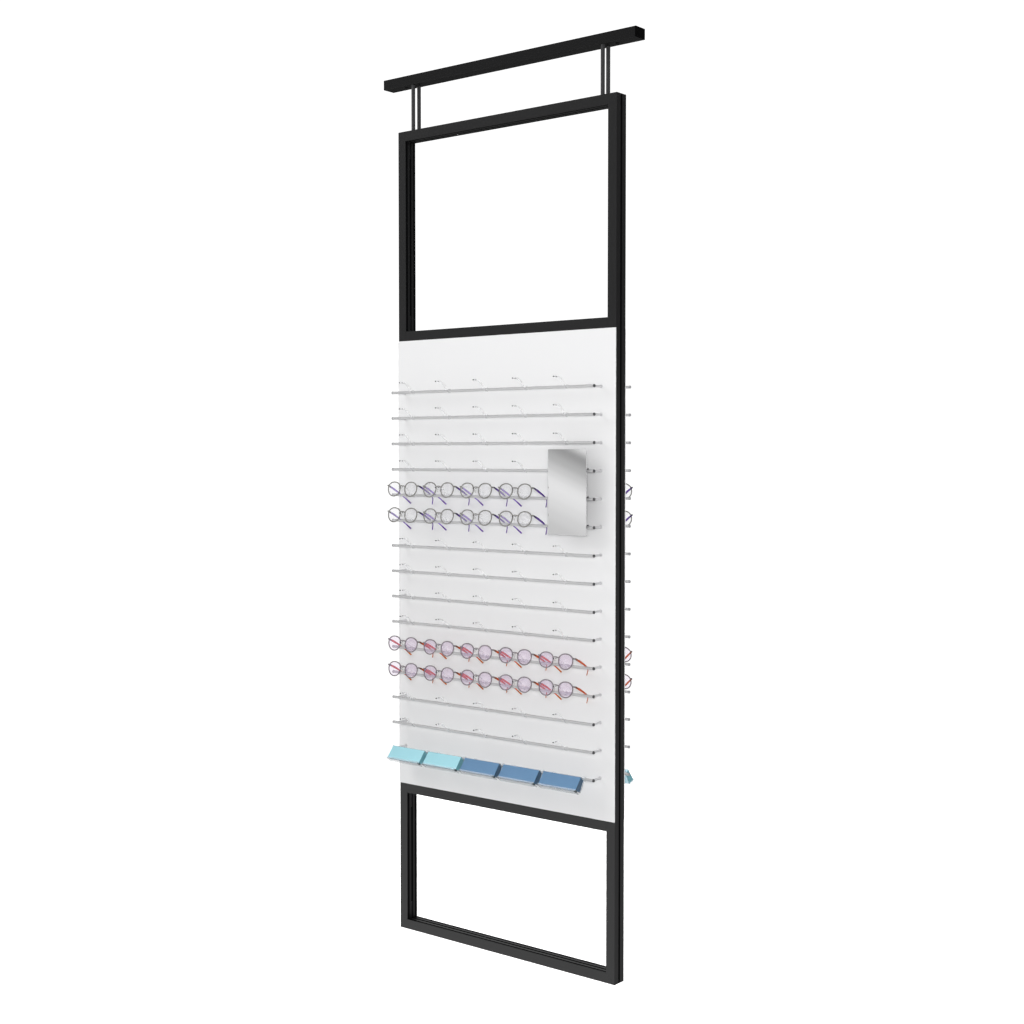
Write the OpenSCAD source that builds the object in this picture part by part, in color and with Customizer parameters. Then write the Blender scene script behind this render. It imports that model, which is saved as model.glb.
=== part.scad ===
// Two-sided eyewear display panel, hung from the ceiling on four rods.
// The origin is the middle of the ceiling beam's top face, and everything hangs below it.
// The front looks towards -Y. The back is the front turned half round the upright centre line.

/* [Frame] */
// Width of the hanging frame, outside to outside
frame_w = 830; // [790:5:900]
// Height of the hanging frame
frame_h = 2500; // [2450:10:2700]
// Width of the frame profile, seen from the front
profile_w = 30; // [28:1:34]
// Depth of the frame profile, front to back
profile_d = 45; // [45:1:50]
// Height of the white panel's lower edge above the bottom of the frame
panel_low = 464; // [440:1:480]
// Height of the white panel's upper edge above the bottom of the frame
panel_high = 1852; // [1800:1:1900]
// Thickness of the white panel
panel_t = 3; // [2:0.5:3]

/* [Ceiling beam] */
// Length of the ceiling beam with its end caps
beam_w = 955; // [900:5:1100]
// Height of the ceiling beam
beam_h = 30; // [28:1:34]
// Wall of the ceiling beam's tube
beam_wall = 2.5; // [2:0.25:2.5]
// Free length of the hanger rods, frame to beam
hanger_len = 140; // [100:5:300]
// Diameter of a hanger rod
hanger_d = 12; // [11:0.5:12]
// Distance of the hanger rods from the upright centre line
hanger_x = 360; // [300:5:370]
// Distance between the screw holes for the ceiling
ceiling_hole_gap = 800; // [760:10:840]

/* [Display bars] */
// Number of bars on each side
bar_rows = 15; // [15:1:16]
// Distance from one bar to the next
bar_pitch = 79; // [79:1:82]
// Height of the top bar above the bottom of the frame
top_bar_z = 1690; // [1680:1:1740]
// Diameter of a bar
bar_d = 8; // [7:0.5:8]
// Distance of the bars from the frame's middle plane
bar_reach = 66; // [66:1:70]
// Left end of the bars
bar_left = -403; // [-405:1:-400]
// Right end of the bars
bar_right = 374; // [370:1:380]
// Middle of the left standoffs
standoff_left = -386; // [-388:1:-385]
// Middle of the right standoffs
standoff_right = 366; // [363:1:366]
// Diameter of a standoff
standoff_d = 6.5; // [5:0.25:6.5]

/* [Places for glasses] */
// Places on each bar
places = 5; // [3:1:5]
// Distance from one place to the next
place_pitch = 147.5; // [147:0.5:148]
// Middle of the first place
first_place = -314; // [-314:1:-310]
// How far a nose rest's arm reaches forward of its bar
rest_reach = 42; // [41:0.5:43]
// How far a nose rest's tip stands above its bar
rest_rise = 26.5; // [26:0.5:27]

/* [Glasses] */
// Overall width of a pair of glasses
glasses_w = 131; // [130:1:133]
// Width of a rim
rim_w = 52; // [50:1:52]
// Height of a rim
rim_h = 46; // [44:1:46]
// Width of the rim's wire, seen from the front
rim_t = 2.7; // [2:0.1:3]

/* [Mirror] */
// Width of the mirror
mirror_w = 134; // [120:1:136]
// Height of the mirror
mirror_h = 242; // [230:1:246]
// Left edge of the mirror
mirror_left = 219; // [217:1:221]
// Height of the mirror's lower edge above the bottom of the frame
mirror_low = 1272; // [1268:1:1274]

/* [Card blocks] */
// Width of a card block's holder
holder_w = 135; // [130:1:138]
// Distance from one holder to the next
holder_pitch = 148.7; // [148.5:0.1:149.5]
// Left edge of the first holder
first_holder = -387; // [-389:1:-386]
// Thickness of a holder's clear sheet
sheet_t = 1.6; // [1:0.1:1.6]

/* [Hidden] */
$fn = 32;

// Heights
total_h = frame_h + hanger_len + beam_h;
frame_x = frame_w / 2;
inner_x = frame_x - profile_w;
face_y = profile_d / 2;
panel_y = face_y + panel_t;

// Grooves of the frame profile: three in the side that looks into a bay, one T-slot outside
groove_w = 8;
groove_deep = 9;
groove_shallow = 6;
flange_t = 2;
side_groove_y = face_y - flange_t - groove_w / 2;
slot_lip = 2.5;
slot_chamber_w = 14;
slot_chamber_d = 6;

// Corner brackets in the middle groove
bracket_leg = 60;
bracket_t = 4.3;
bracket_w = 7.6;
bracket_inset = 8.8;
grub_r = 2;
grub_from_end = 15;

// Panel clips, in the side grooves of the stiles
clip_count = 6;
clip_w = 24;
clip_reach = 5;
clip_h = 40;
clip_tongue = 5.5;
clip_clearance = 0.4;

// Ceiling beam and hangers
hanger_y = 13;
spigot_r = 4;
spigot_in_rail = 15;
spigot_in_beam = 10;
spigot_clearance = 0.1;
nut_flats = 12.5;
nut_h = 6;
screw_hole_r = 3.25;
access_hole_r = 7;
cap_t = 2.5;
cap_plug = 12;

// Bars
bar_r = bar_d / 2;
plug_t = 4;
plug_r = bar_r + 0.4;
foot_r = 5;
foot_t = 1.5;

// Nose rests
rest_ring_r = bar_r + 2;
running_gap = 0.05;
rest_w = 6;
rest_arm_t = 3.5;
rest_pad_top = 7;
rest_pad_under = 6;
tip_r = 1.8;
tip_len = 21.5;

// Rows that carry something other than bare places
purple_rows = [5, 6];
purple_places = [1:4];
red_rows = [11, 12];
red_places = [1:5];
mirror_rows = [4, 5, 6];
card_row = 15;

// Glasses, measured from the bar's axis below the bridge
lens_ahead = 8.5;
lens_below = 7;
lens_y = -rest_reach - lens_ahead;
lens_z = rest_rise - lens_below;
lens_lean = 8;
lens_gap = 17;
lens_t = 2;
lens_play = 0.1;
front_t = 3;
lens_x = (rim_w + lens_gap) / 2;
bridge_z = 10.6;
bridge_in_rim = 3;
bridge_w = lens_gap + 2 * bridge_in_rim;
endpiece_in = 3;
endpiece_low = 2;
endpiece_h = 4.5;
endpiece_behind = 1.5;
hinge_in = 1.5;
hinge_behind = 4.9;
hinge_above = 10.5;
hinge = [glasses_w / 2 - hinge_in, lens_y + hinge_behind, lens_z + hinge_above];
over_bar_z = 7.2;
bend_y = 19;
bend = [hinge[0], bend_y, over_bar_z + (hinge[2] - over_bar_z) * bend_y / hinge[1]];
temple_tip = [-19, 17.5, -24.8];
temple_end = bend + temple_tip;
temple_t = 2.4;
temple_h = 4.6;

// Mirror and its hooks
mirror_y = 75;
mirror_t = 3;
backplate_t = 2;
backplate_inset = 2;
hook_w = 10;
hook_t = 3;
hook_gap = 0.3;
hook_inset = 10;
hook_tab_t = 1.5;
hook_tab_low = -8;
hook_jaw_low = -3.5;

// Card blocks and their holders, drawn as [forward, up] from the bar's axis
block_top = [19, 9];
block_foot = [45, -24];
block_outline = [block_top, [6.5, -3.5], [23, -33], block_foot];
block_gap = 0.15;
block_inset = 1;
mouth_above = 8;
mouth_deep = 5;
lip_h = 3;
flange_l = 21;
knuckle_w = 10;
first_knuckle = 20;
knuckle_at = [first_knuckle, holder_w - knuckle_w];
knuckle_r = bar_r + 2.4;

function bar_z(row) = top_bar_z - bar_pitch * (row - 1);
function place_x(place) = first_place + place_pitch * (place - 1);
function mirror_hides(row, place) = place == 5 && row >= mirror_rows[0] && row <= mirror_rows[2];

// A round-cornered lens outline, a little wider at the top
function lens_outline(w, h, points = 28) = [
    for (i = [0 : points - 1])
        let (c = cos(360 * i / points), s = sin(360 * i / points))
        [w / 2 * sign(c) * pow(abs(c), 0.95) * (1 + 0.1 * s), h / 2 * sign(s) * pow(abs(s), 0.95)]
];

// ---- placing ----

module from_floor() translate([0, 0, -total_h]) children();

module on_front() from_floor() children();

module on_back() rotate([0, 0, 180]) from_floor() children();

module at_bar(row, x) translate([x, -bar_reach, bar_z(row)]) children();

// A flat outline drawn as [forward, up], given a thickness along X
module side_plate(t) rotate([90, 0, -90]) linear_extrude(t, center = true) children();

// A square rod from one point to another
module rod_between(a, b, w, h) {
    d = b - a;
    translate(a)
        rotate([0, 0, -atan2(d[0], d[1])])
            rotate([atan2(d[2], norm([d[0], d[1]])), 0, 0])
                translate([-w / 2, 0, -h / 2]) cube([w, norm(d), h]);
}

// ---- ceiling beam and hangers ----

module beam_tube() {
    length = beam_w - 2 * cap_t;
    middle_z = total_h - beam_h / 2;
    difference() {
        translate([0, 0, middle_z]) cube([length, profile_d, beam_h], center = true);
        translate([0, 0, middle_z])
            cube([length + 2, profile_d - 2 * beam_wall, beam_h - 2 * beam_wall], center = true);
        for (x = [-1, 1] * ceiling_hole_gap / 2) {
            translate([x, 0, middle_z]) cylinder(r = screw_hole_r, h = beam_h);
            translate([x, 0, middle_z - beam_h]) cylinder(r = access_hole_r, h = beam_h);
        }
        for (x = [-1, 1] * hanger_x, y = [-1, 1] * hanger_y)
            translate([x, y, middle_z - beam_h]) cylinder(r = spigot_r + spigot_clearance, h = beam_h);
    }
}

module ceiling_beam() color("#1c1c1c") from_floor() beam_tube();

module beam_end_caps() color("#111111") from_floor()
    for (side = [0, 1]) mirror([side, 0, 0]) {
        translate([beam_w / 2 - cap_t, -profile_d / 2, total_h - beam_h])
            cube([cap_t, profile_d, beam_h]);
        translate([
            beam_w / 2 - cap_t - cap_plug,
            -profile_d / 2 + beam_wall + spigot_clearance,
            total_h - beam_h + beam_wall + spigot_clearance
        ]) cube([
            cap_plug,
            profile_d - 2 * (beam_wall + spigot_clearance),
            beam_h - 2 * (beam_wall + spigot_clearance)
        ]);
    }

module hanger_rod() {
    translate([0, 0, frame_h]) cylinder(d = hanger_d, h = hanger_len);
    translate([0, 0, frame_h - spigot_in_rail])
        cylinder(r = spigot_r, h = spigot_in_rail + hanger_len + spigot_in_beam);
}

module at_hangers()
    for (x = [-1, 1] * hanger_x, y = [-1, 1] * hanger_y) translate([x, y, 0]) children();

module hanger_rods() color("#3a3a3c") from_floor() at_hangers() hanger_rod();

module hanger_nuts() color("#8a8d90") from_floor() at_hangers()
    translate([0, 0, frame_h + hanger_len + beam_wall])
        difference() {
            rotate([0, 0, 30]) cylinder(d = nut_flats / cos(30), h = nut_h, $fn = 6);
            translate([0, 0, -1]) cylinder(r = spigot_r + spigot_clearance, h = nut_h + 2);
        }

// ---- frame ----

// Grooves along X in a rail's face at height z, which looks up (1) or down (-1)
module rail_grooves(z, looks)
    for (y = [-side_groove_y, 0, side_groove_y]) {
        deep = y == 0 ? groove_deep : groove_shallow;
        translate([-frame_w, y - groove_w / 2, looks > 0 ? z - deep : z - 1])
            cube([2 * frame_w, groove_w, deep + 1]);
    }

module upright_outline(points)
    rotate([90, 0, 0]) linear_extrude(profile_d, center = true) polygon(points);

module stile() difference() {
    upright_outline([
        [inner_x, profile_w], [frame_x, 0], [frame_x, frame_h], [inner_x, frame_h - profile_w]
    ]);
    for (y = [-side_groove_y, 0, side_groove_y]) {
        deep = y == 0 ? groove_deep : groove_shallow;
        translate([inner_x - 1, y - groove_w / 2, -1]) cube([deep + 1, groove_w, frame_h + 2]);
    }
    translate([frame_x - slot_lip, -groove_w / 2, -1]) cube([slot_lip + 1, groove_w, frame_h + 2]);
    translate([frame_x - slot_lip - slot_chamber_d, -slot_chamber_w / 2, -1])
        cube([slot_chamber_d, slot_chamber_w, frame_h + 2]);
}

module right_stile() color("#262626") from_floor() stile();

module left_stile() color("#262626") from_floor() mirror([1, 0, 0]) stile();

module top_rail() color("#262626") from_floor() difference() {
    upright_outline([
        [-frame_x, frame_h], [frame_x, frame_h],
        [inner_x, frame_h - profile_w], [-inner_x, frame_h - profile_w]
    ]);
    rail_grooves(frame_h - profile_w, -1);
    at_hangers() translate([0, 0, frame_h - spigot_in_rail])
        cylinder(r = spigot_r + spigot_clearance, h = spigot_in_rail + 1);
}

module bottom_rail() color("#333333") from_floor() difference() {
    upright_outline([[-frame_x, 0], [frame_x, 0], [inner_x, profile_w], [-inner_x, profile_w]]);
    rail_grooves(profile_w, 1);
}

module mid_rail(low, looks) difference() {
    translate([-inner_x, -face_y, low]) cube([2 * inner_x, profile_d, profile_w]);
    rail_grooves(looks > 0 ? low + profile_w : low, looks);
}

module upper_mid_rail() color("#262626") from_floor() mid_rail(panel_high, 1);

module lower_mid_rail() color("#333333") from_floor() mid_rail(panel_low - profile_w, -1);

// Each bracket's outer corner: its height, and the way its upright leg points
bracket_corners = [
    [frame_h - profile_w + bracket_inset, -1],
    [panel_high + profile_w - bracket_inset, 1],
    [panel_low - profile_w + bracket_inset, -1],
    [profile_w - bracket_inset, 1]
];

module at_brackets()
    for (side = [0, 1], corner = bracket_corners)
        mirror([side, 0, 0]) translate([inner_x + bracket_inset, 0, corner[0]])
            mirror([0, 0, corner[1] < 0 ? 1 : 0]) children();

// Runs children at the grub screw of each leg, pointing through the leg
module at_grubs() {
    translate([-bracket_leg + grub_from_end, 0, 0]) children();
    translate([0, 0, bracket_leg - grub_from_end]) rotate([0, -90, 0]) children();
}

module bracket() difference() {
    rotate([90, 0, 0]) linear_extrude(bracket_w, center = true) polygon([
        [0, 0], [0, bracket_leg], [-bracket_t, bracket_leg],
        [-bracket_t, bracket_t], [-bracket_leg, bracket_t], [-bracket_leg, 0]
    ]);
    at_grubs() translate([0, 0, -1]) cylinder(r = grub_r + running_gap, h = bracket_t + 2);
}

module corner_brackets() color("#77797c") from_floor() at_brackets() bracket();

module bracket_screws() color("#55585c") from_floor() at_brackets() at_grubs()
    cylinder(r = grub_r, h = bracket_t);

// ---- panels ----

module panel()
    translate([-frame_x, -panel_y, panel_low]) cube([frame_w, panel_t, panel_high - panel_low]);

module front_panel() color("#f2f2f2") on_front() panel();

module back_panel() color("#f2f2f2") on_back() panel();

// A clip glued behind the panel, with a tongue in the stile's side groove
module panel_clip() {
    translate([inner_x - clip_w, -face_y, 0]) cube([clip_w - clip_clearance, clip_reach, clip_h]);
    translate([inner_x - clip_w, -side_groove_y - groove_w / 2 + clip_clearance, 0])
        cube([clip_w + clip_tongue, groove_w - 2 * clip_clearance, clip_h]);
}

module panel_clips() color("#9a9a9a") from_floor()
    for (turn = [0, 180], side = [0, 1], i = [0 : clip_count - 1]) {
        step = (panel_high - panel_low - clip_h) / clip_count;
        rotate([0, 0, turn]) mirror([side, 0, 0])
            translate([0, 0, panel_low + step * (i + 0.5)]) panel_clip();
    }

// ---- bars ----

module standoffs()
    for (row = [1 : bar_rows], x = [standoff_left, standoff_right]) at_bar(row, x)
        rotate([-90, 0, 0]) {
            translate([0, 0, bar_r]) cylinder(d = standoff_d, h = bar_reach - panel_y - bar_r);
            translate([0, 0, bar_reach - panel_y - foot_t]) cylinder(r = foot_r, h = foot_t);
        }

module front_standoffs() color("#b8b8b8") on_front() standoffs();

module back_standoffs() color("#b8b8b8") on_back() standoffs();

module bars()
    for (row = [1 : bar_rows]) at_bar(row, bar_left + plug_t)
        rotate([0, 90, 0]) cylinder(r = bar_r, h = bar_right - bar_left - 2 * plug_t);

module front_bars() color("#b4b4b6") on_front() bars();

module back_bars() color("#b4b4b6") on_back() bars();

module end_plugs()
    for (row = [1 : bar_rows], x = [bar_left, bar_right - plug_t]) at_bar(row, x)
        rotate([0, 90, 0]) cylinder(r = plug_r, h = plug_t);

module bar_end_plugs() color("#2a2a2c") {
    on_front() end_plugs();
    on_back() end_plugs();
}

// ---- nose rests ----

module at_rests()
    for (row = [1 : card_row - 1], place = [1 : places])
        if (!mirror_hides(row, place)) at_bar(row, place_x(place)) children();

module rest_outline() difference() {
    union() {
        circle(r = rest_ring_r);
        polygon([
            [bar_r, -rest_arm_t / 2],
            [rest_reach - rest_pad_under, rest_rise - rest_arm_t / 2],
            [rest_reach, rest_rise - rest_arm_t / 2],
            [rest_reach, rest_rise + rest_arm_t / 2],
            [rest_reach - rest_pad_top, rest_rise + rest_arm_t / 2],
            [bar_r, rest_arm_t / 2]
        ]);
    }
    circle(r = bar_r + running_gap);
}

module nose_rests() at_rests() side_plate(rest_w) rest_outline();

module front_nose_rests() color("#e6e6e8") on_front() nose_rests();

module back_nose_rests() color("#e6e6e8") on_back() nose_rests();

module tips() at_rests() translate([0, -rest_reach, rest_rise])
    rotate([90, 0, 0]) cylinder(r = tip_r, h = tip_len);

module rest_tips() color("#4a4a4e") {
    on_front() tips();
    on_back() tips();
}

// ---- mirror ----

module mirror_sheet(inset, y, t)
    translate([mirror_left + inset, -y - t, mirror_low + inset])
        cube([mirror_w - 2 * inset, t, mirror_h - 2 * inset]);

// A hook over one bar, drawn as [forward, up] from the bar's axis
module hook_outline() {
    back = mirror_y - bar_reach - backplate_t;
    top = bar_r + hook_gap;
    jaw = -bar_r - hook_gap;
    polygon([
        [back, hook_tab_low], [back, top + hook_t], [jaw - hook_t, top + hook_t],
        [jaw - hook_t, hook_jaw_low], [jaw, hook_jaw_low], [jaw, top],
        [back - hook_tab_t, top], [back - hook_tab_t, hook_tab_low]
    ]);
}

module mirror_back() {
    mirror_sheet(backplate_inset, mirror_y - backplate_t, backplate_t);
    for (row = mirror_rows, x = [mirror_left + hook_inset, mirror_left + mirror_w - hook_inset])
        at_bar(row, x) side_plate(hook_w) hook_outline();
}

module front_mirror_glass() color("#c9cbcd") on_front() mirror_sheet(0, mirror_y, mirror_t);

module back_mirror_glass() color("#c9cbcd") on_back() mirror_sheet(0, mirror_y, mirror_t);

module front_mirror_backplate() color("#3c3d40") on_front() mirror_back();

module back_mirror_backplate() color("#3c3d40") on_back() mirror_back();

// ---- card blocks and their holders ----

module at_card(i) at_bar(card_row, first_holder + holder_pitch * (i - 1)) children();

// Runs an outline of the holder from one distance along it to another
module along_holder(from, to)
    translate([(from + to) / 2, 0, 0]) side_plate(to - from) children();

function unit(v) = v / norm(v);
function outward(a, b) = let (u = unit(b - a)) [u[1], -u[0]];

// A convex outline with every edge moved out by d
function grown(points, d) = let (n = len(points)) [
    for (i = [0 : n - 1])
        let (before = outward(points[(i + n - 1) % n], points[i]))
        let (after = outward(points[i], points[(i + 1) % n]))
        points[i] + d * (before + after) / (1 + before * after)
];

// The clear sheet round a block's top, back and foot, with its flange below
module holder_outline() {
    down = unit(block_foot - block_top);
    out = outward(block_foot, block_top);
    difference() {
        polygon(grown(block_outline, block_gap + sheet_t));
        polygon(grown(block_outline, block_gap));
        polygon([
            block_top - mouth_above * down, block_top - mouth_above * down + mouth_deep * out,
            block_foot - lip_h * down + mouth_deep * out, block_foot - lip_h * down
        ]);
    }
    corner = grown(block_outline, block_gap + sheet_t)[3];
    along = unit([-6, -5]);
    inward = unit([-5, 6]);
    polygon([
        corner, corner + sheet_t * inward,
        corner + flange_l * along + sheet_t * inward, corner + flange_l * along
    ]);
}

module card_holder(i) at_card(i) {
    along_holder(0, holder_w) holder_outline();
    for (x = knuckle_at) along_holder(x, x + knuckle_w) difference() {
        circle(r = knuckle_r);
        circle(r = bar_r + running_gap);
    }
}

module card_block(i) at_card(i)
    along_holder(block_inset, holder_w - block_inset) polygon(block_outline);

module front_card_holder_1() color("#c4dbe4") on_front() card_holder(1);
module front_card_holder_2() color("#c4dbe4") on_front() card_holder(2);
module front_card_holder_3() color("#c4dbe4") on_front() card_holder(3);
module front_card_holder_4() color("#c4dbe4") on_front() card_holder(4);
module front_card_holder_5() color("#c4dbe4") on_front() card_holder(5);
module back_card_holder_1() color("#c4dbe4") on_back() card_holder(1);
module back_card_holder_2() color("#c4dbe4") on_back() card_holder(2);
module back_card_holder_3() color("#c4dbe4") on_back() card_holder(3);
module back_card_holder_4() color("#c4dbe4") on_back() card_holder(4);
module back_card_holder_5() color("#c4dbe4") on_back() card_holder(5);
module front_card_block_1() color("#a5e3ee") on_front() card_block(1);
module front_card_block_2() color("#a5e3ee") on_front() card_block(2);
module front_card_block_3() color("#6790b8") on_front() card_block(3);
module front_card_block_4() color("#6790b8") on_front() card_block(4);
module front_card_block_5() color("#6790b8") on_front() card_block(5);
module back_card_block_1() color("#a5e3ee") on_back() card_block(1);
module back_card_block_2() color("#a5e3ee") on_back() card_block(2);
module back_card_block_3() color("#6790b8") on_back() card_block(3);
module back_card_block_4() color("#6790b8") on_back() card_block(4);
module back_card_block_5() color("#6790b8") on_back() card_block(5);

// ---- glasses ----

module at_glasses(rows, at) for (row = rows, place = at) at_bar(row, place_x(place)) children();

// The plane of the lenses, leaning back at the top
module lens_plane() translate([0, lens_y, lens_z]) rotate([-lens_lean, 0, 0]) children();

module upright_sheet(t) rotate([90, 0, 0]) linear_extrude(t, center = true) children();

module glasses_frame() lens_plane() {
    for (x = [-1, 1] * lens_x) translate([x, 0, 0]) upright_sheet(front_t) difference() {
        polygon(lens_outline(rim_w, rim_h));
        polygon(lens_outline(rim_w - 2 * rim_t, rim_h - 2 * rim_t));
    }
    translate([-bridge_w / 2, -front_t / 2, bridge_z - rim_t / 2]) cube([bridge_w, front_t, rim_t]);
    for (side = [0, 1]) mirror([side, 0, 0])
        translate([lens_x + rim_w / 2 - endpiece_in, -front_t / 2, bridge_z - endpiece_low])
            cube([
                glasses_w / 2 - lens_x - rim_w / 2 + endpiece_in,
                front_t + endpiece_behind,
                endpiece_h
            ]);
}

module glasses_lenses() lens_plane()
    for (x = [-1, 1] * lens_x) translate([x, 0, 0]) upright_sheet(lens_t)
        polygon(lens_outline(rim_w - 2 * rim_t - lens_play, rim_h - 2 * rim_t - lens_play));

module glasses_temples() for (side = [0, 1]) mirror([side, 0, 0]) {
    rod_between(hinge, bend, temple_t, temple_h);
    rod_between(bend, temple_end, temple_t, temple_h);
}

module front_purple_frames() color("#6d6f72") on_front()
    at_glasses(purple_rows, purple_places) glasses_frame();
module front_purple_lenses() color("#d5d8dc") on_front()
    at_glasses(purple_rows, purple_places) glasses_lenses();
module front_purple_temples() color("#6f3fb4") on_front()
    at_glasses(purple_rows, purple_places) glasses_temples();
module back_purple_frames() color("#6d6f72") on_back()
    at_glasses(purple_rows, purple_places) glasses_frame();
module back_purple_lenses() color("#d5d8dc") on_back()
    at_glasses(purple_rows, purple_places) glasses_lenses();
module back_purple_temples() color("#6f3fb4") on_back()
    at_glasses(purple_rows, purple_places) glasses_temples();
module front_red_frames() color("#6d6264") on_front()
    at_glasses(red_rows, red_places) glasses_frame();
module front_red_lenses() color("#dccbe0") on_front()
    at_glasses(red_rows, red_places) glasses_lenses();
module front_red_temples() color("#d0342c") on_front()
    at_glasses(red_rows, red_places) glasses_temples();
module back_red_frames() color("#6d6264") on_back()
    at_glasses(red_rows, red_places) glasses_frame();
module back_red_lenses() color("#dccbe0") on_back()
    at_glasses(red_rows, red_places) glasses_lenses();
module back_red_temples() color("#d0342c") on_back()
    at_glasses(red_rows, red_places) glasses_temples();

ceiling_beam();
beam_end_caps();
hanger_rods();
hanger_nuts();
left_stile();
right_stile();
top_rail();
upper_mid_rail();
lower_mid_rail();
bottom_rail();
corner_brackets();
bracket_screws();
front_panel();
back_panel();
panel_clips();
front_standoffs();
back_standoffs();
front_bars();
back_bars();
bar_end_plugs();
front_nose_rests();
back_nose_rests();
rest_tips();
front_mirror_glass();
front_mirror_backplate();
back_mirror_glass();
back_mirror_backplate();
front_card_holder_1();
front_card_holder_2();
front_card_holder_3();
front_card_holder_4();
front_card_holder_5();
back_card_holder_1();
back_card_holder_2();
back_card_holder_3();
back_card_holder_4();
back_card_holder_5();
front_card_block_1();
front_card_block_2();
front_card_block_3();
front_card_block_4();
front_card_block_5();
back_card_block_1();
back_card_block_2();
back_card_block_3();
back_card_block_4();
back_card_block_5();
front_purple_frames();
front_purple_lenses();
front_purple_temples();
front_red_frames();
front_red_lenses();
front_red_temples();
back_purple_frames();
back_purple_lenses();
back_purple_temples();
back_red_frames();
back_red_lenses();
back_red_temples();
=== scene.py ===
"""Looks of the hanging eyewear display: detailed pieces, materials, light and camera."""

import math

import bmesh
import bpy
from mathutils import Matrix, Vector


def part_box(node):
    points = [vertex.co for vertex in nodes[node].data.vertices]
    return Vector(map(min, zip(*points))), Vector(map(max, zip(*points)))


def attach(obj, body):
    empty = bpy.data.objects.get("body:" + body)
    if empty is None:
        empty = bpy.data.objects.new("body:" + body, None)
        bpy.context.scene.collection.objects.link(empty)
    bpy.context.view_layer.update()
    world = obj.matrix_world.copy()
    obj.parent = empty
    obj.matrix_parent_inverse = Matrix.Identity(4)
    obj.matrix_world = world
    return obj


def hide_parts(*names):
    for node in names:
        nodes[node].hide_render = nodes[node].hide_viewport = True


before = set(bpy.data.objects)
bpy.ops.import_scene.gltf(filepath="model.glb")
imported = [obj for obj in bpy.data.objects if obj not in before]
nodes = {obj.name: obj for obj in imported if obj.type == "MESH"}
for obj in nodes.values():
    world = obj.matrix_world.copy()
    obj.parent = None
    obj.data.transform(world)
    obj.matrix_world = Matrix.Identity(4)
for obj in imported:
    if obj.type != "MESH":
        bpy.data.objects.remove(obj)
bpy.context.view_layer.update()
MM = 0.001

# ---- places, in millimetres, as part.scad has them ----
TOTAL_H = 2670
BAR_REACH = 66
TOP_BAR_Z = 1690
BAR_PITCH = 79
BAR_ROWS = 15
BAR_LEFT, BAR_RIGHT = -403, 374
BAR_R = 4
PLACES = 5
FIRST_PLACE = -314
PLACE_PITCH = 147.5
REST_REACH, REST_RISE = 42, 26.5
TIP_L, TIP_R = 21.5, 1.8
MIRROR_ROWS = (4, 5, 6)
CARD_ROW = 15
FIRST_HOLDER, HOLDER_PITCH, HOLDER_W = -387, 148.7, 135
LENS_Y, LENS_Z, LENS_LEAN, LENS_X = -50.5, 19.5, 8, 34.5
RIM_W, RIM_H = 52, 46
HINGE = Vector((64, -45.6, 30))
BEND = Vector((64, 19, -2.3))
TEMPLE_END = Vector((45, 36.5, -27.1))
PURPLE = ((5, 6), (1, 2, 3, 4))
RED = ((11, 12), (1, 2, 3, 4, 5))

SIDES = {
    "front": Matrix.Translation((0, 0, -TOTAL_H)),
    "back": Matrix.Rotation(math.pi, 4, "Z") @ Matrix.Translation((0, 0, -TOTAL_H)),
}


def bar_z(row):
    return TOP_BAR_Z - BAR_PITCH * (row - 1)


def at_bar(side, row, x):
    return SIDES[side] @ Matrix.Translation((x, -BAR_REACH, bar_z(row)))


def at_place(side, row, place):
    return at_bar(side, row, FIRST_PLACE + PLACE_PITCH * (place - 1))


# ---- mesh building ----
class Shape:
    """Vertices in millimetres, and faces with a material number each."""

    def __init__(self):
        self.verts, self.faces, self.slots = [], [], []

    def add(self, verts, faces, slot=0):
        start = len(self.verts)
        self.verts += [Vector(v) for v in verts]
        self.faces += [tuple(i + start for i in f) for f in faces]
        self.slots += [slot] * len(faces)
        return self

    def include(self, other, matrix=None):
        start = len(self.verts)
        self.verts += [matrix @ v if matrix else v for v in other.verts]
        self.faces += [tuple(i + start for i in f) for f in other.faces]
        self.slots += other.slots
        return self

    def mirrored(self):
        twin = Shape()
        twin.verts = [Vector((-v.x, v.y, v.z)) for v in self.verts]
        twin.faces = [tuple(reversed(f)) for f in self.faces]
        twin.slots = list(self.slots)
        return twin


def both(shape):
    return Shape().include(shape).include(shape.mirrored())


def skin(rings, closed=False, capped=True):
    """Faces over a row of rings that have the same number of points."""
    n, m = len(rings[0]), len(rings)
    verts = [p for ring in rings for p in ring]
    faces = []
    for i in range(m if closed else m - 1):
        a, b = i * n, (i + 1) % m * n
        faces += [(a + j, a + (j + 1) % n, b + (j + 1) % n, b + j) for j in range(n)]
    if capped and not closed:
        faces.append(tuple(reversed(range(n))))
        faces.append(tuple(range((m - 1) * n, m * n)))
    return verts, faces


def sweep(path, section, side_axis, closed=False):
    """Rings along a path. section(t) gives their points, across and up, at t from 0 to 1."""
    rings = []
    count = len(path)
    for i, p in enumerate(path):
        before = path[(i - 1) % count] if closed else path[max(i - 1, 0)]
        after = path[(i + 1) % count] if closed else path[min(i + 1, count - 1)]
        along = (after - before).normalized()
        up = along.cross(side_axis).normalized()
        across = up.cross(along).normalized()
        t = i / count if closed else i / (count - 1)
        rings.append([p + across * u + up * v for u, v in section(t)])
    return skin(rings, closed)


def circle(sides):
    """Cosine and sine at equal steps round a circle."""
    step = 2 * math.pi / sides
    return [(math.cos(step * k), math.sin(step * k)) for k in range(sides)]


def oval(a, b, sides=10):
    """An ellipse of half axes a and b."""
    return [(a * c, b * s) for c, s in circle(sides)]


def chamfered(a, b, c):
    """A rectangle of half sides a and b with corners cut by c."""
    return [
        (a, -b + c), (a, b - c), (a - c, b), (-a + c, b),
        (-a, b - c), (-a, -b + c), (-a + c, -b), (a - c, -b),
    ]


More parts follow.
